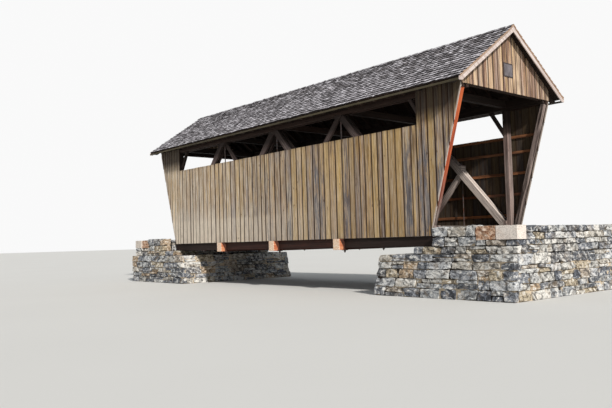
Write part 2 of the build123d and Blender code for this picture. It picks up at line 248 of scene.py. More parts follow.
class Value:
    """An output of a node, which takes part in sums as a number does."""

    def __init__(self, nodes, socket):
        self.nodes, self.socket = nodes, socket

    def math(self, operation, other=0.0):
        """The result of one of the operations of Blender's math node."""
        return self.nodes.add("ShaderNodeMath", {0: self, 1: other}, operation=operation)

    def __add__(self, other):
        return self.math("ADD", other)

    def __sub__(self, other):
        return self.math("SUBTRACT", other)

    def __mul__(self, other):
        return self.math("MULTIPLY", other)

    def __abs__(self):
        return self.math("ABSOLUTE")

    def spread(self, low, high, to_low=0.0, to_high=1.0):
        """Maps the range from low to high onto another one, and stops at its ends."""
        names = ("Value", "From Min", "From Max", "To Min", "To Max")
        inputs = dict(zip(names, (self, low, high, to_low, to_high)))
        return self.nodes.add("ShaderNodeMapRange", inputs)


class Nodes:
    """Adds nodes to a tree, each by its settings and by what goes into it."""

    def __init__(self, tree):
        self.tree = tree

    def feed(self, socket, value):
        """Links an output of another node to a socket, or writes a plain value there."""
        if isinstance(value, Value):
            self.tree.links.new(value.socket, socket)
        else:
            socket.default_value = value

    def add(self, kind, inputs=(), output=0, **settings):
        """One output of a new node, whose inputs are given by name or position."""
        node = self.tree.nodes.new(kind)
        for key, setting in settings.items():
            setattr(node, key, setting)
        for key, value in dict(inputs).items():
            self.feed(node.inputs[key], value)
        return Value(self, node.outputs[output])


class Shader(Nodes):
    """A material whose colour is laid on in layers."""

    def __init__(self, name):
        self.material = bpy.data.materials.new(name)
        self.material.use_nodes = True
        super().__init__(self.material.node_tree)
        self.colour = None

    def feed(self, socket, value):
        """Plain colours are in 0 to 255 steps, and may have a shade as a fourth value."""
        is_colour = socket.type == "RGBA" and isinstance(value, tuple)
        super().feed(socket, srgb(*value) if is_colour else value)

    def attribute(self, name, output="Fac"):
        return self.add("ShaderNodeAttribute", output=output, attribute_name=name)

    @cached_property
    def grain(self):
        """The point across and along its own board or stone."""
        return self.attribute("grain", "Vector")

    @cached_property
    def tone(self):
        """A random number for each board or stone."""
        return self.attribute("tone")

    @cached_property
    def place(self):
        """The point in the frame of the model."""
        return self.add("ShaderNodeTexCoord", output="Object")

    def chance(self, factor):
        """Another random number for each board or stone."""
        return (self.tone * factor).math("FRACT")

    def part(self, axis):
        """One coordinate of the point in the frame of the model."""
        return self.add("ShaderNodeSeparateXYZ", {0: self.place}, axis)

    def facing(self, axis):
        """How far a face looks along an axis, from -1 to 1."""
        normal = self.add("ShaderNodeNewGeometry", output="True Normal")
        return self.add("ShaderNodeSeparateXYZ", {0: normal}, axis)

    def noise(self, vector, scale, detail=3, roughness=0.55, distortion=0):
        """A noise with a scale for each axis."""
        scaled = self.add("ShaderNodeVectorMath", {0: vector, 1: scale}, operation="MULTIPLY")
        inputs = {
            "Vector": scaled, "Scale": 1, "Detail": detail, "Roughness": roughness,
            "Distortion": distortion,
        }
        return self.add("ShaderNodeTexNoise", inputs, "Fac")

    def pick(self, value, colours):
        """One of the colours for each step of a value from 0 to 1."""
        picked = self.add("ShaderNodeValToRGB", {0: value})
        ramp = picked.socket.node.color_ramp
        ramp.interpolation = "CONSTANT"
        for i, colour in enumerate(colours):
            position = i / len(colours)
            stop = ramp.elements[i] if i < 2 else ramp.elements.new(position)
            stop.position = position
            stop.color = srgb(*colour)
        return picked

    def mix(self, share, first, second, blend="MIX"):
        """The first colour with a share of the second one over it."""
        node = self.tree.nodes.new("ShaderNodeMix")
        node.data_type, node.blend_type = "RGBA", blend
        below, above = [socket for socket in node.inputs if socket.type == "RGBA"]
        for socket, value in ((node.inputs["Factor"], share), (below, first), (above, second)):
            self.feed(socket, value)
        return Value(self, next(socket for socket in node.outputs if socket.type == "RGBA"))

    def paint(self, share, colour, blend="MIX"):
        """Lays a share of a colour over the layers so far."""
        self.colour = self.mix(share, self.colour, colour, blend)

    def finish(self, roughness, height, depth, specular=0.3, metallic=0):
        """The material, with a bump of the given depth in metres."""
        inputs = {
            "Base Color": self.colour, "Roughness": roughness, "Specular IOR Level": specular,
            "Metallic": metallic,
            "Normal": self.add(
                "ShaderNodeBump", {"Height": height, "Strength": 1, "Distance": depth}),
        }
        surface = self.tree.nodes["Principled BSDF"]
        for key, value in inputs.items():
            self.feed(surface.inputs[key], value)
        return self.material


def wood(name, tones, dark, grey, grey_share=0.5, edge_share=0.7, contrast=0.55,
         light=None, tints=None, weather_and_shade=None):
    """Weathered wood: a tone for each board, fibres and checks along it, grey patches."""
    s = Shader(name)
    streaks = s.noise(s.grain, (15, 15, 0.7), detail=5, roughness=0.62)
    fibres = s.noise(s.grain, (110, 110, 3.5))
    bands = s.noise(s.grain, (30, 30, 0.45), detail=4, roughness=0.6)
    blotches = s.noise(s.grain, (4, 4, 0.7), detail=4, roughness=0.6)
    checks = s.noise(s.grain, (46, 46, 0.9), detail=2).spread(0.66, 0.72)
    knots = s.noise(s.grain, (12, 12, 5), detail=0).spread(0.8, 0.84)
    s.colour = s.pick(s.tone, tones)
    if light:
        s.paint(bands.spread(0.52, 0.59, 0, 0.6), light)
    if tints:
        hues = s.noise(s.grain, (21, 21, 0.35))
        s.paint(hues.spread(0.47, 0.42, 0, 0.6), tints[0])
        s.paint(hues.spread(0.54, 0.6, 0, 0.6), tints[1])
    s.paint(streaks.spread(0.47, 0.57, 0, contrast), dark)
    greyer = s.chance(31.7).spread(0.4, 0.95, 0.3, 1)
    share = blotches.spread(0.44, 0.6, 0, grey_share) * greyer
    if weather_and_shade:
        share = weather_and_shade(s, share, bands)
    s.paint(share, grey)
    s.paint(fibres.spread(0.35, 0.65, 0, 0.42), dark, "MULTIPLY")
    s.paint(knots * 0.6, dark)
    edge = s.attribute("edge")
    sharper = s.chance(17.9).spread(0, 0.5, 0.65, 1)
    # Dark board edges: partly dirt along the edges, partly painted shade of the gaps between
    # boards.
    s.paint(edge.spread(0.02, 0.5, 0, edge_share) * sharper, (*dark, 0.4))
    s.paint(edge.spread(0, -1, 0, 0.8), (206, 196, 184))
    s.paint(checks * 0.75, (38, 28, 22))
    height = fibres * 0.4 + streaks * 0.6 - checks
    return s.finish(streaks.spread(0.3, 0.7, 0.72, 0.92), height, 0.004)


def wing_edge(node):
    """A wing's leaning edge: reach and height of its foot, and how far it leans out per rise."""
    points = node_points(node)
    foot_z = min(p.z for p in points)
    foot_x = max(abs(p.x) for p in points if p.z < foot_z + TINY)
    tip_x = max(abs(p.x) for p in points)
    tip_z = min(p.z for p in points if abs(p.x) > tip_x - TINY)
    return foot_x, foot_z, (tip_x - foot_x) / (tip_z - foot_z)


def wall_weather_and_shade(s, share, bands):
    """Long walls: painted light paler to the left and darker to the right, some boards ochre and
    some slate grey, painted shade inside and under the eaves.
    """
    across, up = s.part("X"), s.part("Z")
    kind = s.chance(53.3)
    leftwards = across.spread(5, -7)
    # Painted light: the wall is paler towards the left end.
    s.paint(leftwards * 0.55, (232, 210, 180))
    s.paint(leftwards * up.spread(3.3, 2.4, 0, 0.85), (252, 238, 220))
    # Painted light: the wall is darker towards the right end.
    s.paint(across.spread(-2, 4, 0, 0.22), (96, 72, 52))
    s.paint(kind.spread(0.36, 0.26, 0, 0.4) * across.spread(-6, 1), (226, 190, 122))
    streak = bands.spread(0.49, 0.57) * up.spread(4.5, 2.4) * kind.spread(0.3, 0.5, 0.2, 0.6)
    s.paint(streak, s.mix(leftwards, (124, 124, 132), (206, 198, 196)))
    patches = s.noise(s.grain, (9, 9, 1.2), detail=5, roughness=0.65).spread(0.48, 0.54)
    slate = patches * kind.spread(0.55, 0.66) * across.spread(-3, 2, 0.1, 0.8)
    s.paint(slate * up.spread(5.1, 4), (82, 87, 100))
    lichen = s.noise(s.grain, (34, 34, 1.3), detail=4, roughness=0.65).spread(0.51, 0.58)
    s.paint(lichen * across.spread(3, -5, 0.25, 0.9), (242, 232, 216))
    share = share * kind.spread(0.3, 0.5, 0.25, 1)
    foot = up.spread(2.72, 2.6) * across.spread(1.5, -3, 0, 0.5)
    s.paint(foot, (240, 226, 206))
    share = share - foot * 0.5
    # Painted shade: the inner faces of the boards and everything right under the eaves are
    # darkened.
    inner_face_shade = abs(s.part("Y")).spread(*BOARD_BACKS, 0, 0.88)
    painted_shade = inner_face_shade.math("MAXIMUM", up.spread(*UNDER_EAVES, 0, 0.88))
    s.paint(painted_shade, (40, 32, 27))
    share = share * painted_shade.spread(0, 0.7, 1, 0.1)
    foot_x, foot_z, lean = wing_edge("near_right_wing_siding")
    edge = foot_x - lean * foot_z
    start, full = BEFORE_SAWN_EDGE
    sawn = (abs(across) - up * lean).spread(edge - start, edge - full, 0, 0.85)
    s.paint(sawn, (214, 200, 190))
    return share - sawn


def portal_light_and_shade(s, share, bands):
    """Painted light: truss timbers are lightened where sun comes in through the portals, braces
    above all, and get painted shade under the eaves.
    """
    reach = abs(s.part("X"))
    painted_sunlight = reach.spread(*SUNLIT_ENDS) * s.part("Z").spread(*SUNLIT_BRACES)
    painted_sunlight = painted_sunlight * reach.spread(*END_POSTS, 0.12, 1)
    # Painted sunlight on the braces and the ends of the trusses.
    s.paint(painted_sunlight * bands.spread(0.42, 0.5, 0.45, 1), (248, 234, 224))
    return painted_eave_shade(s, share * painted_sunlight.spread(0, 1, 1, 0.25), bands)


def painted_eave_shade(s, share, _bands):
    """Painted shade: timbers are darkened right under the eaves."""
    eave_shade_share = s.part("Z").spread(*TIMBER_UNDER_EAVES, 0, 0.92)
    # Painted shade under the eaves.
    s.paint(eave_shade_share, (34, 23, 18))
    return share * eave_shade_share.spread(0, 0.7, 1, 0.1)


def stained_wood():
    """Raker timbers: orange red on the near side, grey brown on the far side and low down."""
    s = Shader("raker_wood")
    streaks = s.noise(s.grain, (16, 16, 0.9), detail=5, roughness=0.62)
    fibres = s.noise(s.grain, (110, 110, 3.5))
    s.colour = s.mix(streaks.spread(0.42, 0.58), (158, 141, 134), (60, 49, 46))
    red = s.mix(streaks.spread(0.4, 0.6), (206, 104, 58), (150, 66, 42))
    height = s.part("Z") + streaks * 1.6
    s.paint(height.spread(3.2, 4.4) * s.part("Y").spread(0.1, -0.1), red)
    s.paint(fibres.spread(0.35, 0.7, 0, 0.3), (60, 44, 38), "MULTIPLY")
    return s.finish(0.8, streaks + fibres, 0.003)


def sawn_ends():
    """Floor beams: dark brown sides, orange near the ends with a painted shadow of the siding over
    them, and pale sawn end faces.
    """
    s = Shader("floor_beam_wood")
    rings = s.noise(s.grain, (34, 34, 2), detail=4, distortion=0.6)
    streaks = s.noise(s.grain, (20, 20, 1), detail=4)
    ringed = rings.spread(0.42, 0.58)
    reach = abs(s.part("Y"))
    # Painted shadow of the siding: the sides stay dark above a slanted line, and the orange below
    # it reaches further in low down.
    slant = reach + s.part("Z").spread(1.7, 1.45, 0, 0.15)
    s.colour = s.mix(streaks.spread(0.35, 0.7), (92, 52, 38), (46, 28, 22))
    s.paint(slant.spread(*BEAM_SIDE_SHADOW_EDGE), s.mix(ringed, (214, 146, 108), (176, 92, 58)))
    s.paint(reach.spread(*BEAM_ENDS), s.mix(ringed, (250, 236, 218), (226, 176, 138)))
    return s.finish(0.82, rings + streaks, 0.003)


def split_shakes():
    """Silver grey split shakes: streaked down the slope, dirt and painted shade under each butt,
    butts darkened as painted shade, tan at the rakes.
    """
    s = Shader("shake_wood")
    streaks = s.noise(s.grain, (38, 38, 3), detail=5, roughness=0.65)
    blotches = s.noise(s.grain, (9, 9, 4))
    s.colour = s.pick(s.tone, [
        (140, 135, 138), (204, 200, 206), (166, 161, 165), (226, 222, 228),
        (126, 120, 122), (236, 232, 238), (114, 109, 111), (214, 209, 215),
    ])
    s.paint(streaks.spread(0.51, 0.6, 0, 0.5), (52, 47, 50))
    s.paint(blotches.spread(0.52, 0.66, 0, 0.35), (208, 204, 212))
    s.paint(abs(s.part("Y")).spread(0.3, 2.4, 0, 0.25), (224, 220, 228))
    # Dirt and painted shade: a dark band on each shake just under the butt of the course above.
    s.paint(s.attribute("edge").spread(0.2, 0.6, 0, 0.6), (34, 30, 33))
    # Painted shade: faces that do not look upwards, the butts above all, are darkened.
    s.paint(s.facing("Z").spread(0.3, 0.1, 0, 0.9), (22, 20, 22))
    s.paint(abs(s.part("X")).spread(*RAKE_SHAKES, 0, 0.75), (180, 146, 116))
    return s.finish(streaks.spread(0.3, 0.7, 0.7, 0.9), streaks, 0.006)


def masonry(name, tones, stain, stain_share=0.5, rough=0.024, contrast=0.8,
            dark=(42, 42, 46), pale=(244, 242, 237)):
    """Rubble stone: a tone for each stone, lichen and iron stains, a pitted face."""
    s = Shader(name)
    coarse = s.noise(s.grain, (6, 6, 9), detail=6, roughness=0.7, distortion=0.6)
    fine = s.noise(s.grain, (40, 40, 52), detail=4, roughness=0.7)
    stains = s.noise(s.grain, (3, 3, 4), detail=4, roughness=0.6)
    s.colour = s.pick(s.tone, tones)
    s.paint(coarse.spread(0.5, 0.58, 0, contrast), dark)
    s.paint(coarse.spread(0.47, 0.4, 0, contrast), pale)
    s.paint(stains.spread(0.53, 0.66, 0, stain_share), stain)
    s.paint(fine.spread(0.45, 0.68, 0, 0.6), (66, 62, 60), "MULTIPLY")
    return s.finish(fine.spread(0.3, 0.7, 0.78, 0.95), fine * 0.4 - coarse, rough)


def mortar_bed():
    """Bedding between the stones: sandy low down and in patches, dark elsewhere."""
    s = Shader("mortar")
    grit = s.noise(s.place, (60, 60, 60), detail=5, roughness=0.7)
    patches = s.noise(s.place, (1.1, 1.1, 1.6))
    s.colour = s.mix(grit.spread(0.35, 0.65), (64, 55, 45), (28, 25, 22))
    sand = s.mix(grit.spread(0.35, 0.65), (222, 206, 182), (172, 154, 130))
    s.paint(patches.spread(0.44, 0.52) * s.part("Z").spread(1.6, 1.2), sand)
    return s.finish(0.95, grit, 0.008)


def rusted_iron():
    """Forged rods, plates and nuts, dark with light rust."""
    s = Shader("iron")
    rust = s.noise(s.place, (26, 26, 9), detail=5, roughness=0.65)
    scale = s.noise(s.place, (140, 140, 140), detail=2)
    s.colour = s.mix(rust.spread(0.46, 0.62), (92, 88, 88), (104, 62, 44))
    roughness = rust.spread(0.4, 0.65, 0.5, 0.85)
    return s.finish(roughness, scale, 0.0008, specular=0.5, metallic=0.35)


def grey_plate():
    """Bare painted metal, slightly mottled, with a darker rim."""
    s = Shader("bare_plate")
    cloud = s.noise(s.place, (8, 8, 5), detail=4)
    specks = s.noise(s.place, (90, 90, 90), detail=2)
    s.colour = s.mix(cloud.spread(0.35, 0.65), (112, 106, 110), (90, 84, 87))
    beside, above = [
        abs(s.part(axis) - centre).spread(size * 0.4, size * 0.43, 0, 0.85)
        for axis, centre, size in zip("YZ", PLATE_CENTRE, PLATE_SIZE)
    ]
    s.paint(beside.math("MAXIMUM", above), (52, 42, 40))
    return s.finish(cloud.spread(0.3, 0.7, 0.5, 0.7), specks, 0.0006, specular=0.4)


WOODS = {
    "wall_boards": wood(
        "wall_board_wood",
        [
            (168, 130, 90), (226, 184, 126), (190, 150, 104), (236, 198, 142),
            (176, 142, 106), (216, 174, 118), (156, 122, 88), (224, 190, 142),
        ],
        dark=(80, 54, 34), grey=(170, 164, 164), edge_share=1, contrast=0.75,
        light=(246, 226, 188), tints=((178, 162, 160), (228, 190, 112)), weather_and_shade=wall_weather_and_shade,
    ),
    "gable_boards": wood(
        "gable_board_wood",
        [
            (156, 118, 92), (212, 178, 144), (172, 134, 106), (224, 196, 164),
            (138, 104, 84), (200, 166, 134),
        ],
        dark=(78, 54, 42), grey=(184, 168, 158), grey_share=0.45, edge_share=0.85, contrast=0.7,
        light=(244, 230, 208), tints=((172, 142, 132), (214, 184, 138)),
    ),
    "trim": wood(
        "rake_board_wood", [(222, 210, 205), (210, 195, 188)],
        dark=(152, 126, 112), grey=(204, 198, 196), grey_share=0.4, edge_share=0.2, contrast=0.4,
    ),
    "moulding": wood(
        "rake_moulding_wood", [(208, 184, 164), (190, 156, 130)],
        dark=(126, 92, 70), grey=(184, 172, 162), grey_share=0.4, edge_share=0.2,
    ),
    "fascia": wood(
        "fascia_wood", [(82, 74, 54), (68, 62, 46)],
        dark=(38, 34, 26), grey=(90, 84, 70), edge_share=0.3,
    ),
    "frame": wood(
        "frame_wood", [(148, 124, 118), (114, 94, 90), (130, 108, 102)],
        dark=(66, 50, 46), grey=(166, 154, 150), grey_share=0.45, edge_share=0.3, contrast=0.7,
        light=(190, 168, 156), weather_and_shade=portal_light_and_shade,
    ),
    "girts": wood(
        "girt_wood", [(160, 106, 68), (128, 80, 52), (146, 104, 74)],
        dark=(84, 50, 34), grey=(136, 118, 104), grey_share=0.25, edge_share=0.3, contrast=0.7,
        weather_and_shade=painted_eave_shade,
    ),
    # Painted shade: the roof timbers and roof boards are made very dark for the shade inside the
    # roof.
    "roof_frame": wood(
        "roof_frame_wood", [(58, 38, 28), (42, 29, 22), (50, 34, 26)],
        dark=(23, 16, 12), grey=(56, 46, 42), grey_share=0.3, edge_share=0.3,
    ),
    # Red brown wood, made darker as painted shade for the shadow under the walls.
    "lower": wood(
        "lower_timber_wood", [(58, 26, 16), (36, 20, 14)],
        dark=(18, 12, 9), grey=(40, 32, 28), grey_share=0.3, edge_share=0.3,
    ),
    "deck": wood(
        "deck_wood", [(146, 130, 114), (120, 104, 90), (134, 116, 98)],
        dark=(70, 58, 50), grey=(150, 144, 138), grey_share=0.6, edge_share=0.6,
    ),
    "rakers": stained_wood(),
    "floor_beams": sawn_ends(),
    "shakes": split_shakes(),
}
RUBBLE = masonry(
    "rubble",
    [
        (162, 165, 171), (210, 210, 208), (108, 112, 119), (194, 188, 178), (172, 175, 178),
        (192, 178, 154), (136, 136, 138), (228, 225, 219), (178, 166, 152), (112, 117, 127),
        (192, 168, 140), (200, 202, 205), (138, 142, 150), (184, 182, 177),
    ],
    stain=(172, 150, 122), stain_share=0.3,
)
ROUGH_BLOCK = masonry(
    "rough_end_stone", [(212, 176, 148), (202, 164, 136)], stain=(200, 138, 92),
    rough=0.03, contrast=0.85, dark=(112, 68, 42), pale=(252, 232, 214),
)
SAWN_BLOCK = masonry(
    "sawn_end_stone", [(240, 229, 219), (232, 221, 210)], stain=(218, 194, 176),
    stain_share=0.35, rough=0.004, contrast=0.12,
)
MORTAR = mortar_bed()
IRON = rusted_iron()
PLATE = grey_plate()


# Meshes

class Pile:
    """Gathers many small solids into one piece, each with its own tone and grain."""

    def __init__(self, seed):
        self.random = Random(seed)
        self.points, self.faces = [], []
        self.tones, self.grains, self.edges = [], [], []

    def add(self, points, faces, edges=None, axes=None):
        """One solid. Its grain runs along the last of its axes."""
        first = len(self.points)
        tone = self.random.random()
        shift = anywhere(self.random, NOISE_REACH)
        self.points += points
        self.tones += [tone] * len(points)
        self.edges += edges or [0] * len(points)
        for point in points:
            self.grains.append((Vector([point.dot(a) for a in axes]) if axes else point) + shift)
        self.faces += [[first + i for i in face] for face in faces]

    def slab(self, rows, columns, spots, axes, marks=(1, 1), head=0):
        """A closed solid. Its front and back point are spots(row, column).

        The marks are for its sides, and head is for its last row.
        """
        tall, wide = len(rows), len(columns)
        pairs = [spots(row, column) for row in rows for column in columns]
        side_marks = [marks[0]] + [0] * (wide - 2) + [marks[1]]
        edges = side_marks * (tall - 1) + ([head] * wide if head else side_marks)

        def at(layer, j, i):
            return (layer * tall + j) * wide + i

        faces = []
        for j in range(tall - 1):
            for i in range(wide - 1):
                corners = (j, i), (j, i + 1), (j + 1, i + 1), (j + 1, i)
                faces += [[at(layer, *corner) for corner in corners] for layer in (0, 1)]
        for j in range(tall - 1):
            for i in (0, wide - 1):
                faces.append([at(0, j, i), at(0, j + 1, i), at(1, j + 1, i), at(1, j, i)])
        for i in range(wide - 1):
            for j in (0, tall - 1):
                faces.append([at(0, j, i), at(0, j, i + 1), at(1, j, i + 1), at(1, j, i)])
        points = [front for front, _ in pairs] + [back for _, back in pairs]
        self.add(points, faces, edges * 2, axes)

    def piece(self, name, material, slot, *nodes):
        """The finished object, standing for the given nodes."""
        mesh = bpy.data.meshes.new(name)
        mesh.from_pydata(self.points, [], self.faces)
        for key, values in (("tone", self.tones), ("edge", self.edges)):
            mesh.attributes.new(key, "FLOAT", "POINT").data.foreach_set("value", values)
        flat = [x for grain in self.grains for x in grain]
        mesh.attributes.new("grain", "FLOAT_VECTOR", "POINT").data.foreach_set("vector", flat)
        face_out(mesh)
        return shown(mesh, name, material, slot, *nodes)


def face_out(mesh):
    """Turns the faces of every closed solid outwards."""
    work = bmesh.new()
    work.from_mesh(mesh)
    bmesh.ops.recalc_face_normals(work, faces=work.faces)
    work.to_mesh(mesh)
    work.free()


def shown(mesh, name, material, slot, *nodes):
    """Links a mesh as a piece that rides on the bridge."""
    mesh.materials.append(material)
    piece = link(name, mesh)
    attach(piece, "root")
    if nodes:
        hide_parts(*nodes)
    return piece


def uneven(random, start, stop, sizes):
    """Joints from start to stop at uneven spacing within the given sizes."""
    joints = [start]
    while joints[-1] < stop:
        joints.append(joints[-1] + random.uniform(*sizes))
    if len(joints) > 2 and joints[-1] - stop > (joints[-1] - joints[-2]) / 2:
        joints.pop()
    scale = (stop - start) / (joints[-1] - start)
    return [start + (joint - start) * scale for joint in joints]


def uneven_gap(random, width):
    """Half of a gap that is about as wide as given."""
    return width / 2 * random.uniform(0.4, 1.6)


# Boards

class Board:
    """An upright board, slightly wavy and cupped, whose edges close up at its back."""

    def __init__(self, random, place, span, foot, head, thickness):
        self.place, self.foot, self.head, self.thickness = place, foot, head, thickness
        self.left, self.right = span
        self.gap = uneven_gap(random, BOARD_GAP)
        self.back = random.uniform(0, BOARD_SETBACK)
        self.tilt = random.uniform(-BOARD_TILT, BOARD_TILT)
        self.bow = random.uniform(0, BOARD_BOW)
        self.foot_wear, self.head_wear = random.uniform(0, FOOT_WEAR), random.uniform(0, HEAD_WEAR)
        self.wave = random.uniform(0, 20)
        middle = (self.left + self.right) / 2
        self.low, self.high = foot(middle), head(middle)
        self.rows = max(1, ceil((self.high - self.low) / BOARD_STEP))

    def spot(self, share, column, gap=0.0):
        """Distance along the wall and height of a point of the board."""
        across = between(self.left, self.right, column, gap)
        low, high = self.foot(across) + self.foot_wear, self.head(across) - self.head_wear
        return across, between(low, high, share)

    def face(self, share, column):
        """A point of the weathered face."""
        across, up = self.spot(share, column, self.gap)
        across += BOARD_WAVE * noise.noise(Vector((self.wave, share * self.rows * 0.9, 0)))
        worn = WORN_EDGE if column in (0, 1) else 0
        lift = self.back + self.bow * 4 * share * (1 - share)
        lift += abs(self.tilt) + self.tilt * (2 * column - 1) + worn
        return self.place(across, up, self.thickness - min(lift, DEEPEST_FACE))

    def spots(self, share, column):
        """A point of the face, and one of the back, just off the timbers."""
        return self.face(share, column), self.place(*self.spot(share, column), BACK_GAP)


def boards(pile, place, axes, joints, foot, head, thickness, nails=None, levels=(), sawn=False):
    """Boards between the joints, nailed at the given levels."""
    for span in zip(joints, joints[1:]):
        board = Board(pile.random, place, span, foot, head, thickness)
        shares = [j / board.rows for j in range(board.rows + 1)]
        marks = (1, -1 if sawn and span[1] == joints[-1] else 1)
        pile.slab(shares, BOARD_COLUMNS, board.spots, axes, marks)
        for level in levels:
            level += pile.random.uniform(-NAIL_STRAY, NAIL_STRAY)
            share = (level - board.low) / (board.high - board.low)
            if NAIL_MARGIN < share < 1 - NAIL_MARGIN:
                for column in NAIL_COLUMNS:
                    nail(nails, board.face(share, column), axes[1])


def nail(pile, spot, out):
    """A flat-domed nail head, facing outwards from the bridge."""
    out = out * (1 if spot.dot(out) > 0 else -1)
    side = out.cross(Z)
    angles = [2 * pi * k / NAIL_SIDES for k in range(NAIL_SIDES)]
    points = [
        spot + out * lift + (side * cos(a) + Vector((0, 0, sin(a)))) * radius
        for radius, lift in NAIL_RINGS for a in angles
    ]
    points.append(spot + out * NAIL_TOP)
    n, pairs = NAIL_SIDES, [(k, (k + 1) % NAIL_SIDES) for k in range(NAIL_SIDES)]
    faces = [[a, b, b + n, a + n] for a, b in pairs]
    faces += [[a + n, b + n, 2 * n] for a, b in pairs] + [list(reversed(range(n)))]
    pile.add(points, faces)


def girt_levels(side_name):
    """Heights of the nailers behind the boards."""
    heights = sorted({round(p.z, 3) for p in node_points(f"{side_name}_girts")})
    return [(low + high) / 2 for low, high in zip(heights[::2], heights[1::2])]


def wall_place(side, inner):
    """Places a point of a long wall by its X, its height and its distance outwards."""
    return lambda across, up, out: Vector((across, side * (inner + out), up))


def long_walls(nails):
    for side_name, side in SIDES.items():
        node = f"{side_name}_low_siding"
        low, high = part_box(node)
        inner, outer = distances(low.y, high.y)
        pile = Pile(f"{side_name} wall")
        joints = uneven(pile.random, low.x, high.x, BOARD_WIDTH)
        boards(
            pile, wall_place(side, inner), (X, Y, Z), joints,
            lambda x: low.z, lambda x: high.z, outer - inner, nails, girt_levels(side_name),
        )
        pile.piece(
            f"{side_name}_wall_boards", WOODS["wall_boards"], "weathered_boards", node)


def wings(nails):
    """Full-height boards beside the portals, cut along the lean."""
    for side_name, side in SIDES.items():
        for end_name, end in ENDS.items():
            node = f"{side_name}_{end_name}_wing_siding"
            low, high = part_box(node)
            inner, outer = distances(low.y, high.y)
            start = distances(low.x, high.x)[0]
            foot_x, foot_z, lean = wing_edge(node)
            back_x = max(abs(p.x) for p in node_points(node) if p.z > high.z - TINY)

            def foot(x):
                return foot_z + max(0, abs(x) - foot_x) / lean

            pile = Pile(node)
            joints = uneven(pile.random, start, foot_x, WING_BOARD_WIDTH)
            joints += uneven(pile.random, foot_x, back_x, WING_BOARD_WIDTH)[1:]
            place = wall_place(side, inner)
            boards(
                pile, lambda x, z, out: place(end * x, z, out), (X, Y, Z), joints,
                foot, lambda x: high.z, outer - inner, nails, girt_levels(side_name), sawn=True,
            )
            pile.piece(
                f"{side_name}_{end_name}_wing_boards", WOODS["wall_boards"], "weathered_boards",
                node,
            )


def gables(nails):
    for end_name, end in ENDS.items():
        node = f"{end_name}_gable"
        low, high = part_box(node)
        inner, outer = distances(low.x, high.x)
        eave_z = min(p.z for p in node_points(node) if p.z > low.z + TINY)
        slope = (high.z - eave_z) / high.y
        pile = Pile(node)
        half = uneven(pile.random, 0, high.y, GABLE_BOARD_WIDTH)
        other = uneven(pile.random, 0, high.y, GABLE_BOARD_WIDTH)
        boards(
            pile, lambda y, z, out: Vector((end * (inner + out), y, z)), (Y, X, Z),
            [-y for y in reversed(other)] + half[1:],
            lambda y: low.z, lambda y: high.z - abs(y) * slope, outer - inner,
            nails, [low.z + rise for rise in GABLE_NAIL_RISES],
        )
        pile.piece(f"{end_name}_gable_boards", WOODS["gable_boards"], "weathered_boards", node)


def deck_planks():
    low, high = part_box("deck")
    pile = Pile("deck")
    boards(
        pile, lambda x, y, out: Vector((x, y, low.z + out)), (X, Z, Y),
        uneven(pile.random, low.x, high.x, PLANK_WIDTH),
        lambda x: low.y, lambda x: high.y, high.z - low.z,
    )
    pile.piece("deck_planks", WOODS["deck"], "deck_planks", "deck")


# Roof

class Slope:
    """One side of the roof: places points by X, distance down from the ridge and height."""

    def __init__(self, side_name, side):
        low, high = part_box(f"{side_name}_shakes")
        ridge = [p.z for p in node_points(f"{side_name}_shakes") if abs(p.y) < TINY]
        self.side = side
        self.ridge_z = max(ridge)
        self.end = high.x
        reach = distances(low.y, high.y)[1]
        rise = (min(ridge) - low.z) / reach
        self.cos = 1 / (1 + rise**2) ** 0.5
        self.sin = rise * self.cos
        self.thickness = (self.ridge_z - min(ridge)) * self.cos
        self.length = reach / self.cos

    def place(self, x, down, lift):
        """A point at a height above the underside of the shakes."""
        below = self.thickness - lift
        y = max(0, down * self.cos - below * self.sin)
        return Vector((x, self.side * y, self.ridge_z - down * self.sin - below * self.cos))

    def axes(self):
        """Directions along the bridge, out of the roof and down the slope."""
        down = Vector((0, self.side * self.cos, -self.sin))
        return X, X.cross(down), down


def shake(pile, slope, left, right, butt):
    """One split shake: a wedge with a ragged butt and an uneven, ridged face."""
    random = pile.random
    head = max(butt - SHAKE_LENGTH, 0)
    top = slope.thickness - random.uniform(0, SHAKE_SINK)
    thick = SHAKE_BUTT * random.uniform(0.7, 1.1)
    skew = random.uniform(-SHAKE_SKEW, SHAKE_SKEW)
    rock = random.uniform(-SHAKE_ROCK, SHAKE_ROCK)

    def spots(share, across):
        ragged = skew * (2 * across - 1) + random.uniform(-SHAKE_FRAY, SHAKE_FRAY)
        down = head + (butt - abs(skew) - SHAKE_FRAY + ragged - head) * (1 - share)
        lift = top + (SHAKE_HEAD - top) * share - abs(rock) + rock * (2 * across - 1)
        ridged = random.uniform(0, SHAKE_RIDGES) + (SHAKE_WORN_EDGE if across in (0, 1) else 0)
        lifts = max(lift - ridged, SHAKE_LOWEST), max(lift - thick * (1 - share), 0) * 0.9
        return [slope.place(between(left, right, across), down, lift) for lift in lifts]

    pile.slab((0, 0.4, 1), SHAKE_COLUMNS, spots, slope.axes(), head=1)


def roof_shakes():
    for side_name, side in SIDES.items():
        slope = Slope(side_name, side)
        pile = Pile(f"{side_name} shakes")
        courses = round(slope.length / COURSE)
        for k in range(courses):
            butt = slope.length - k * (slope.length / courses)
            joints = uneven(pile.random, -slope.end, slope.end, SHAKE_WIDTH)
            for left, right in zip(joints, joints[1:]):
                gap = uneven_gap(pile.random, SHAKE_GAP)
                drop = pile.random.uniform(0, SHAKE_DROP)
                shake(pile, slope, left + gap, right - gap, butt - drop)
        ridge_caps(pile, slope)
        pile.piece(
            f"{side_name}_roof_shakes", WOODS["shakes"], "roof_shakes", f"{side_name}_shakes")


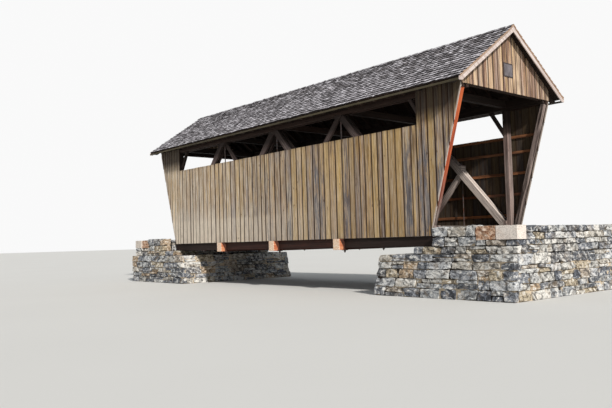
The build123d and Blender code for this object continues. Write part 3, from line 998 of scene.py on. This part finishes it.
def ridge_caps(pile, slope):
    """Short shakes laid along the ridge, each lapping the next."""
    joints = uneven(pile.random, -slope.end, slope.end, CAP_LENGTH)
    for left, right in zip(joints, joints[1:]):
        width = CAP_WIDTH * pile.random.uniform(0.85, 1.1)
        sink = pile.random.uniform(0, CAP_SINK)

        def spots(share, column):
            x = left + (right - left - CAP_GAP) * share
            lift = slope.thickness - CAP_LAP * (1 - share) - sink
            return [slope.place(x, width * column, lift - deep) for deep in (0, CAP_THICKNESS)]

        pile.slab((0, 0.5, 1), (0, 0.5, 1), spots, slope.axes())


def sheathing_boards():
    """Roof boards that show from below, laid along the bridge."""
    for side_name, side in SIDES.items():
        slope = Slope(side_name, side)
        node = f"{side_name}_sheathing"
        low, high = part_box(node)
        reach = distances(low.y, high.y)[1]
        tops = [p.z for p in node_points(node) if abs(p.y) < TINY]
        thickness = (max(tops) - min(tops)) * slope.cos
        pile = Pile(f"{side_name} sheathing")
        random = pile.random
        lines = uneven(random, 0, reach / slope.cos, (SOFFIT_BOARD * 0.9, SOFFIT_BOARD * 1.1))
        along, out, down = slope.axes()
        for upper, lower in zip(lines, lines[1:]):
            ends = uneven(random, low.x, high.x, SOFFIT_LENGTH)
            for left, right in zip(ends, ends[1:]):
                def spots(share, column):
                    x = between(left, right, share, SOFFIT_END_GAP)
                    below = between(upper, lower, column[0], SOFFIT_SIDE_GAP)
                    lifts = -column[1], column[1] - thickness
                    return [slope.place(x, below, lift) for lift in lifts]

                pile.slab((0, 0.25, 0.5, 0.75, 1), SOFFIT_COLUMNS, spots, (down, out, along))
        pile.piece(f"{side_name}_roof_boards", WOODS["roof_frame"], "frame_timber", node)


def rake_mouldings():
    """Thin strips along the upper edge of the rake boards, under the shakes."""
    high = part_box("rake_boards")[1]
    pile = Pile("rake mouldings")
    rows = [k / MOULDING_ROWS for k in range(MOULDING_ROWS + 1)]
    for side_name, side in SIDES.items():
        slope = Slope(side_name, side)
        length = high.y / slope.cos
        for end in ENDS.values():
            def spots(share, column):
                reaches = high.x + MOULDING_THICKNESS - column[1], high.x
                lift = -MOULDING_DEPTH * column[0]
                return [slope.place(end * reach, length * share, lift) for reach in reaches]

            pile.slab(rows, MOULDING_COLUMNS, spots, slope.axes())
    pile.piece("rake_mouldings", WOODS["moulding"], "trim_boards")


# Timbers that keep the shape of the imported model

def solids_of(work):
    """The separate solids of a mesh, as lists of vertices."""
    left = set(work.verts)
    while left:
        stack, found = [left.pop()], []
        while stack:
            vertex = stack.pop()
            found.append(vertex)
            for edge in vertex.link_edges:
                other = edge.other_vert(vertex)
                if other in left:
                    left.remove(other)
                    stack.append(other)
        yield found


def joined_mesh(node):
    """The mesh of a node with its faces joined at their corners, to work on."""
    work = bmesh.new()
    work.from_mesh(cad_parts[node].data)
    bmesh.ops.remove_doubles(work, verts=work.verts, dist=TINY)
    return work


def dressed(node, kind, wear, slot="frame_timber"):
    """The node's timbers with worn edges and grain along their length."""
    random = Random(node)
    work = joined_mesh(node)
    bmesh.ops.dissolve_limit(work, angle_limit=radians(1), verts=work.verts, edges=work.edges)
    sharp = [e for e in work.edges if len(e.link_faces) == 2 and e.calc_face_angle() > radians(20)]
    bmesh.ops.bevel(work, geom=sharp, offset=wear, segments=2, profile=0.6, affect="EDGES")
    grain_key = work.verts.layers.float_vector.new("grain")
    tone_key = work.verts.layers.float.new("tone")
    work.verts.layers.float.new("edge")
    for solid in sorted(solids_of(work), key=lambda s: tuple(min(v.co.to_tuple(3) for v in s))):
        edges = {e for v in solid for e in v.link_edges}
        longest = max(edges, key=lambda e: (round(e.calc_length(), 4), e.verts[0].co.to_tuple(3)))
        along = (longest.verts[1].co - longest.verts[0].co).normalized()
        across = along.cross(Y if abs(along.y) < 0.7 else Z)
        across.normalize()
        out = along.cross(across)
        shift = anywhere(random, NOISE_REACH)
        tone = random.random()
        for vertex in solid:
            local = Vector([vertex.co.dot(axis) for axis in (across, out, along)])
            vertex[grain_key] = local + shift
            vertex[tone_key] = tone
    mesh = bpy.data.meshes.new(f"{node}_timbers")
    work.to_mesh(mesh)
    work.free()
    return shown(mesh, f"{node}_timbers", WOODS[kind], slot, node)


# Masonry

def cube_surface(cuts):
    """Points and faces of a cube's surface from -1 to 1, cut into squares."""
    work = bmesh.new()
    bmesh.ops.create_cube(work, size=2)
    bmesh.ops.subdivide_edges(work, edges=work.edges, cuts=cuts - 1, use_grid_fill=True)
    points = [vertex.co.copy() for vertex in work.verts]
    faces = [[vertex.index for vertex in face.verts] for face in work.faces]
    work.free()
    return points, faces


STONE_SURFACE = cube_surface(STONE_CUTS)
BLOCK_SURFACE = cube_surface(BLOCK_CUTS)
CORE_SURFACE = cube_surface(CORE_CUTS)


def stone(pile, place, ranges, limits, bulge=1.0, skews=(0, 0), surface=STONE_SURFACE):
    """A rough stone within ranges along a wall, up it and into it."""
    random = pile.random
    seed = anywhere(random, 50)
    half = Vector([(b - a) / 2 for a, b in ranges])
    middle = Vector([(a + b) / 2 for a, b in ranges])
    swell_depth = min(half.x, half.y)
    setback = random.uniform(*STONE_SETBACK) * bulge
    slant = random.uniform(*STONE_SLANT) * bulge
    turn = random.uniform(-STONE_TURN, STONE_TURN) * bulge
    points = []
    for p in surface[0]:
        squares = p * p
        corner = squares.x * squares.y + squares.y * squares.z + squares.x * squares.z
        local = p * half * (1 - CORNER_WEAR * corner * bulge)
        relief = noise.noise_vector(local * SWELL_SCALE + seed) * swell_depth * SWELL_SHARE * bulge
        lumps = noise.noise(local * LUMP_SCALE + seed) * LUMP_DEPTH
        facets = (noise.cell(local * FACET_SCALE + seed) - 0.5) * FACET_DEPTH
        relief.z += (lumps + facets) * bulge
        relief.z += (local.y * slant + local.x * turn) * bulge
        local += relief + noise.noise_vector(local * GRIT_SCALE + seed) * GRIT_DEPTH * bulge
        local.x += (skews[0] * (1 - p.x) + skews[1] * (1 + p.x)) / 2 * p.y
        spot = middle + local
        wave = noise.noise(Vector((spot.x * 1.5, middle.y * 2.2, 0)))
        spot.y += COURSE_WAVE * bulge * wave
        spot.z += setback
        points.append(place(*[min(max(v, low), high) for v, (low, high) in zip(spot, limits)]))
    pile.add(points, surface[1])


class Masonry:
    """Coursed rubble over the faces of a node, on a core of mortar."""

    def __init__(self, node, leaned=lambda p: p):
        self.node, self.leaned = node, leaned
        self.stones, self.core = Pile(node), Pile(f"{node} core")
        self.random = self.stones.random

    def face(self, place, length, height, heights, lengths, corner=True, through=None, top=True,
             rise=0.0):
        """Courses over one face. The top one can reach through the wall or be left out."""
        random = self.random
        gap = JOINT / 2
        limits = ((0, length), (0, height + rise), (0, 1))
        levels = uneven(random, 0, height, heights)
        rows = list(zip(levels, levels[1:]))
        for row, (low, high) in enumerate(rows):
            at_top = row == len(rows) - 1
            if at_top and not top:
                continue
            joints = uneven(random, 0, length, lengths)
            skews = [random.uniform(-JOINT_SKEW, JOINT_SKEW) for _ in joints[2:]]
            skews = [0, *skews, 0]
            for k, (left, right) in enumerate(zip(joints, joints[1:])):
                at_corner = corner and k in (0, len(joints) - 2)
                deep = QUOIN_DEPTH if at_corner and row % 2 else STONE_DEPTH
                if through and at_top:
                    deep = through
                parts = [(low, high)]
                if high - low > SPLIT_HEIGHT and not at_corner and random.random() < SPLIT_CHANCE:
                    split = between(low, high, random.uniform(0.4, 0.6))
                    parts = [(low, split), (split, high)]
                for bottom, top_z in parts:
                    lifted = random.uniform(0.3, 1) * rise if at_top and top_z == high else 0
                    along = (left + gap, right - gap)
                    up = (bottom + gap * BED_SHARE, top_z - gap * BED_SHARE + lifted)
                    stone(
                        self.stones, place, (along, up, (0, deep)), limits,
                        skews=skews[k:k + 2],
                    )

    def walls(self, low, high, heights, lengths, sides=True):
        """Faces of a box: its long sides if asked for, then its ends between them, and a core."""
        length, breadth, height = high - low
        inset = 0
        if sides:
            self.sides(low, high, heights, lengths)
            inset = STONE_DEPTH
        faces = [(low.x, 1), (high.x, -1)]
        for x, inwards in faces if low.x > 0 else reversed(faces):
            def place(s, z, d):
                return self.leaned(Vector((x + inwards * d, low.y + inset + s, low.z + z)))
            self.face(place, breadth - 2 * inset, height, heights, lengths, corner=False)
        self.fill(low, high)

    def sides(self, low, high, heights, lengths, through=False, rise=0.0):
        """The long sides of a box. Stones that reach through it top the near one alone."""
        length, breadth, height = high - low
        for y, inwards in ((low.y, 1), (high.y, -1)):
            def place(s, z, d):
                return self.leaned(Vector((low.x + s, y + inwards * d, low.z + z)))
            self.face(
                place, length, height, heights, lengths,
                through=breadth if through else None, top=inwards > 0 or not through, rise=rise,
            )

    def fill(self, low, high):
        """Mortar and hearting behind the stones."""
        inset = Vector((MORTAR_SETBACK, MORTAR_SETBACK, 0))
        a, b = low + inset, high - inset - Vector((0, 0, MORTAR_SETBACK))
        points = []
        for p in CORE_SURFACE[0]:
            spot = Vector([between(a[i], b[i], (p[i] + 1) / 2) for i in range(3)])
            spot += noise.noise_vector(spot * MORTAR_SCALE) * MORTAR_DEPTH
            spot.z = max(spot.z, low.z)
            points.append(self.leaned(spot))
        self.core.add(points, CORE_SURFACE[1])

    def flags(self, x_range, y_range, top):
        """Flat stones bedded over a level top."""
        random = self.random
        width, breadth = x_range[1] - x_range[0], y_range[1] - y_range[0]
        limits = ((0, width), (0, breadth), (0, 1))
        rows = uneven(random, 0, breadth, FLAG_SIZE)

        def place(x, y, down):
            return Vector((x_range[0] + x, y_range[0] + y, top - down))

        for low, high in zip(rows, rows[1:]):
            joints = uneven(random, 0, width, FLAG_SIZE)
            for left, right in zip(joints, joints[1:]):
                ranges = (
                    (left + FLAG_GAP, right - FLAG_GAP), (low + FLAG_GAP, high - FLAG_GAP),
                    (0, FLAG_DEPTH),
                )
                stone(self.stones, place, ranges, limits, bulge=FLAG_BULGE)

    def finish(self):
        """The pieces of stone and of mortar."""
        self.stones.piece(f"{self.node}_stones", RUBBLE, "rubble_stone", self.node)
        self.core.piece(f"{self.node}_mortar", MORTAR, "rubble_stone")


def strip(end, a, b):
    """The X range between two distances from mid-span, at one end."""
    return tuple(sorted((end * a, end * b)))


def tier(work, box, flag_x, heights, lengths, sides=True):
    """One stage of an abutment: its walls, and flags on the part of its top that shows."""
    low, high = box
    inset = STONE_DEPTH if sides else 0
    work.walls(low, high, heights, lengths, sides)
    work.flags(flag_x, (low.y + inset, high.y - inset), high.z)
    work.finish()


def abutments():
    for end_name, end in ENDS.items():
        base, seat, core = (f"{end_name}_abutment_{name}" for name in ("base", "seat", "core"))
        low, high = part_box(base)
        toe = distances(low.x, high.x)[0]
        start = min(abs(p.x) for p in node_points(base) if p.z > high.z - TINY)
        seat_low, seat_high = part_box(seat)
        seat_start = distances(seat_low.x, seat_high.x)[0]
        core_low, core_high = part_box(core)
        core_start, core_end = distances(core_low.x, core_high.x)

        def leaned(p):
            share = (p.z - low.z) / (high.z - low.z)
            near_face = min(1, max(0, 1 - (abs(p.x) - toe) / (seat_start - toe)))
            return Vector((p.x + end * (start - toe) * share * near_face, p.y, p.z))

        flag_x = strip(end, start + STONE_DEPTH, seat_start + FLAG_LAP)
        tier(Masonry(base, leaned), (low, high), flag_x, (0.19, 0.33), (0.34, 0.9))
        flag_x = strip(end, seat_start + STONE_DEPTH, core_start + FLAG_LAP)
        tier(Masonry(seat), (seat_low, seat_high), flag_x, (0.15, 0.24), (0.3, 0.75))
        flag_x = strip(end, core_start + STONE_DEPTH, core_end - STONE_DEPTH)
        tier(Masonry(core), (core_low, core_high), flag_x, (0.16, 0.26), (0.3, 0.6), sides=False)
        for side_name in SIDES:
            parapet(f"{end_name}_{side_name}_parapet", end)


def parapet(node, end):
    """The low wall beside the roadway, with its bottom course under the end blocks."""
    low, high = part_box(node)
    points = node_points(node)
    stop = max(abs(p.x) for p in points if p.z > high.z - TINY)
    bed = min(p.z for p in points if p.z > low.z + TINY)
    start, tip = distances(low.x, high.x)
    work = Masonry(node)
    parts = (
        (strip(end, start, stop), high.z, 2, TOP_STONE_RISE),
        (strip(end, stop, tip), bed, 1, 0),
    )
    for x_range, top, courses, rise in parts:
        a, b = Vector((x_range[0], low.y, low.z)), Vector((x_range[1], high.y, top))
        course = (b - a).z / courses
        work.sides(a, b, (course, course), PARAPET_STONES, through=True, rise=rise)
        work.fill(a, b)
    work.finish()


def solid_boxes(node):
    """Lowest and highest corners of each solid of a node."""
    work = joined_mesh(node)
    boxes = [
        [Vector([pick(v.co[i] for v in solid) for i in range(3)]) for pick in (min, max)]
        for solid in solids_of(work)
    ]
    work.free()
    return sorted(boxes, key=lambda box: tuple(box[0]))


def end_blocks():
    """The stones that close the parapets: a rough tan one, then a pale dressed one."""
    rough, sawn = Pile("rough blocks"), Pile("dressed blocks")
    boxes = solid_boxes("parapet_end_blocks")
    tip = max(high.x for low, high in boxes)
    for low, high in boxes:
        along, through, up = high - low
        limits = [(0, size) for size in (along, up, through)]
        ranges = [(BLOCK_GAP, size - BLOCK_GAP) for size in (along, up, through)]

        def place(s, z, d):
            return Vector((low.x + s, low.y + d, low.z + z))

        at_tip = distances(low.x, high.x)[1] > tip - TINY
        pile, bulge = (sawn, SAWN_BULGE) if at_tip else (rough, ROUGH_BULGE)
        stone(pile, place, ranges, limits, bulge=bulge, surface=BLOCK_SURFACE)
    rough.piece("rough_end_blocks", ROUGH_BLOCK, "dressed_stone", "parapet_end_blocks")
    sawn.piece("dressed_end_blocks", SAWN_BLOCK, "dressed_stone", "parapet_end_blocks")


# Bare plate

def gable_plate():
    """A bare plate with a raised rim on the seen gable."""
    face_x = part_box("right_gable")[1].x
    y, z = PLATE_CENTRE
    points = []
    for inset, out in PLATE_RINGS:
        half_y, half_z = (size / 2 * (1 - inset * 2) for size in PLATE_SIZE)
        for a, b in ((-1, -1), (1, -1), (1, 1), (-1, 1)):
            points.append(Vector((face_x + out, y + a * half_y, z + b * half_z)))
    points.append(Vector((face_x + PLATE_MIDDLE, y, z)))
    middle = len(points) - 1
    faces = [[3, 2, 1, 0]]
    for first in range(0, middle, 4):
        for i in range(4):
            a, b = first + i, first + (i + 1) % 4
            faces.append([a, b, middle] if first + 4 == middle else [a, b, b + 4, a + 4])
    pile = Pile("plate")
    pile.add(points, faces)
    pile.piece("gable_plate", PLATE, "iron_rod")


# Stage

def stage():
    """A wide pale floor."""
    far = FLOOR_REACH
    corners = [(-far, -far, 0), (far, -far, 0), (far, far, 0), (-far, far, 0)]
    mesh = bpy.data.meshes.new("floor")
    mesh.from_pydata(corners, [], [(0, 1, 2, 3)])
    s = Shader("floor_paint")
    cloud = s.noise(s.place, (0.15, 0.15, 0.15), detail=2)
    s.colour = s.mix(cloud, (226, 225, 222), (220, 219, 216))
    mesh.materials.append(s.finish(0.9, cloud, 0.0005, specular=0.1))
    link("floor", mesh)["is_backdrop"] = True


def lights():
    """A broad low key light from beyond the seen portal, and an even pale sky."""
    sun = bpy.data.lights.new("key", "SUN")
    sun.energy, sun.angle, sun.color = SUN_STRENGTH, SUN_SPREAD, SUN_COLOUR
    link("key", sun).rotation_euler = TOWARDS_SUN.to_track_quat("Z", "Y").to_euler()

    world = bpy.data.worlds.new("sky")
    bpy.context.scene.world = world
    world.use_nodes = True
    world.node_tree.nodes.clear()
    nodes = Nodes(world.node_tree)
    looked_at = 0
    for ray in ("Is Camera Ray", "Is Glossy Ray", "Is Transmission Ray"):
        looked_at = nodes.add("ShaderNodeLightPath", output=ray).math("MAXIMUM", looked_at)
    sky, backdrop = (nodes.add("ShaderNodeBackground", inputs) for inputs in (SKY, BACKDROP))
    both = nodes.add("ShaderNodeMixShader", {0: looked_at, 1: sky, 2: backdrop})
    end = world.node_tree.nodes.new("ShaderNodeOutputWorld")
    nodes.feed(end.inputs["Surface"], both)


def camera():
    """The place and the lens that the photograph was taken with."""
    lens = bpy.data.cameras.new("camera")
    lens.sensor_width = SENSOR_WIDTH
    lens.sensor_fit = "HORIZONTAL"
    lens.lens = FOCAL_PIXELS / IMAGE_WIDTH * SENSOR_WIDTH
    lens.clip_end = CLIP_END
    turn = Matrix.Rotation(EYE_TURN, 4, "Z")
    pitch = Matrix.Rotation(pi / 2 + EYE_PITCH, 4, "X")
    roll = Matrix.Rotation(EYE_ROLL, 4, "Z")
    eye = link("camera", lens)
    eye.matrix_world = Matrix.Translation(EYE) @ turn @ pitch @ roll
    bpy.context.scene.camera = eye


camera()
lights()
stage()
bpy.context.scene.view_settings.view_transform = "Standard"

board_nails = Pile("nails")
long_walls(board_nails)
wings(board_nails)
gables(board_nails)
board_nails.piece("board_nails", IRON, "iron_rod")
deck_planks()
roof_shakes()
sheathing_boards()
rake_mouldings()
gable_plate()
abutments()
end_blocks()
for side_name in SIDES:
    dressed(f"{side_name}_main_braces", "frame", LARGE_WEAR)
    dressed(f"{side_name}_bottom_chord", "frame", LARGE_WEAR)
    dressed(f"{side_name}_top_chord", "roof_frame", LARGE_WEAR)
    dressed(f"{side_name}_girts", "girts", SMALL_WEAR)
    dressed(f"{side_name}_rafters", "roof_frame", WEAR)
    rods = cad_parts[f"{side_name}_rods"].data
    rods.materials.clear()
    rods.materials.append(IRON)
for node in ("angle_blocks", "counter_braces", "end_posts", "knee_braces", "end_sills"):
    dressed(node, "frame", WEAR)
dressed("stringers", "frame", WEAR)
dressed("tie_beams", "roof_frame", WEAR)
dressed("ridge_board", "roof_frame", WEAR)
dressed("lower_timbers", "lower", MEDIUM_WEAR)
dressed("floor_beams", "floor_beams", LARGE_WEAR, "beam_timber")
dressed("portal_rakers", "rakers", LARGE_WEAR, "red_timber")
dressed("eave_fascias", "fascia", SMALL_WEAR, "fascia_boards")
dressed("rake_boards", "trim", SMALL_WEAR, "trim_boards")

bpy.context.view_layer.update()
visual_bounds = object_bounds()
boxes = {"cad": cad_bounds, "visual": visual_bounds}
{key: [list(corner) for corner in box] for key, box in boxes.items()}
